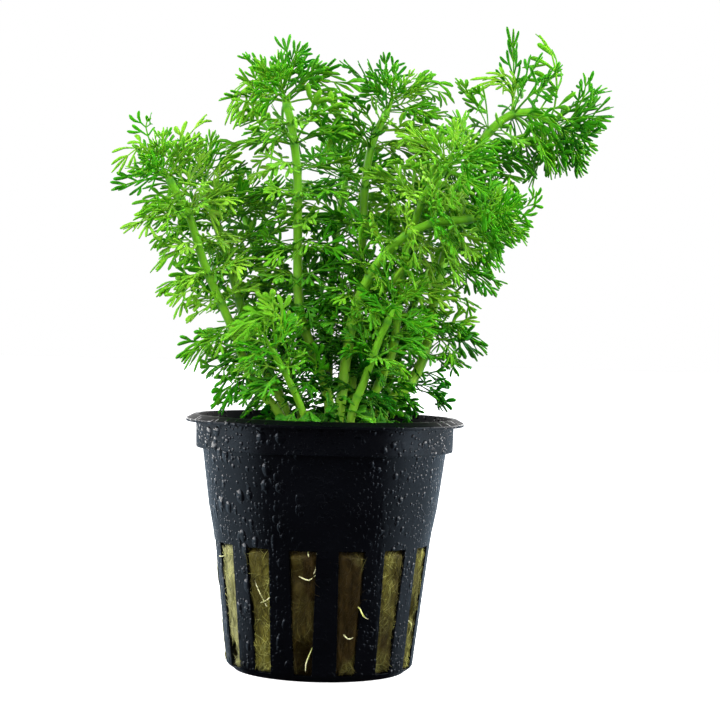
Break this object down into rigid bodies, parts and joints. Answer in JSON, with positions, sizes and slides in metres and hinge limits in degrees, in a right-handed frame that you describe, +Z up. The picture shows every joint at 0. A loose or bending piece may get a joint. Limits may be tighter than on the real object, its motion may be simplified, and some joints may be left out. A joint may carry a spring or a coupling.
{
  "type": "potted dwarf ambulia",
  "caption": "Bushy aquarium plant with feathery whorled leaves on leaning stems, rooted in a mineral-wool plug in a black slotted pot.",
  "frame": {"origin": "centre of the pot's flat underside", "axes": "+Z up along the pot's axis, -Y towards the side the picture shows, +X to that view's right"},
  "size_m": [0.0977, 0.0643, 0.1288],
  "materials": {
    "pot": "gloss",
    "mineral_wool": "matte",
    "stems": "satin",
    "leaves": "satin"
  },
  "bodies": {
    "root": {"crown_01": "leaves", "crown_02": "leaves", "crown_03": "leaves", "crown_04": "leaves", "crown_05": "leaves", "crown_06": "leaves", "crown_07": "leaves", "crown_08": "leaves", "crown_09": "leaves", "crown_10": "leaves", "crown_11": "leaves", "crown_12": "leaves", "crown_13": "leaves", "crown_14": "leaves", "leaf_whorl_01_1": "leaves", "leaf_whorl_01_2": "leaves", "leaf_whorl_01_3": "leaves", "leaf_whorl_02_1": "leaves", "leaf_whorl_02_2": "leaves", "leaf_whorl_02_3": "leaves", "leaf_whorl_03_1": "leaves", "leaf_whorl_03_2": "leaves", "leaf_whorl_03_3": "leaves", "leaf_whorl_03_4": "leaves", "leaf_whorl_04_1": "leaves", "leaf_whorl_04_2": "leaves", "leaf_whorl_04_3": "leaves", "leaf_whorl_05_1": "leaves", "leaf_whorl_05_2": "leaves", "leaf_whorl_06_1": "leaves", "leaf_whorl_06_2": "leaves", "leaf_whorl_06_3": "leaves", "leaf_whorl_06_4": "leaves", "leaf_whorl_06_5": "leaves", "leaf_whorl_07_1": "leaves", "leaf_whorl_07_2": "leaves", "leaf_whorl_07_3": "leaves", "leaf_whorl_09_1": "leaves", "leaf_whorl_09_2": "leaves", "leaf_whorl_10_1": "leaves", "leaf_whorl_10_2": "leaves", "leaf_whorl_11_1": "leaves", "leaf_whorl_11_2": "leaves", "leaf_whorl_12_1": "leaves", "mineral_wool": "mineral_wool", "pot": "pot", "stem_01": "stems", "stem_02": "stems", "stem_03": "stems", "stem_04": "stems", "stem_05": "stems", "stem_06": "stems", "stem_07": "stems", "stem_08": "stems", "stem_09": "stems", "stem_10": "stems", "stem_11": "stems", "stem_12": "stems", "stem_13": "stems", "stem_14": "stems"}
  },
  "joints": []
}
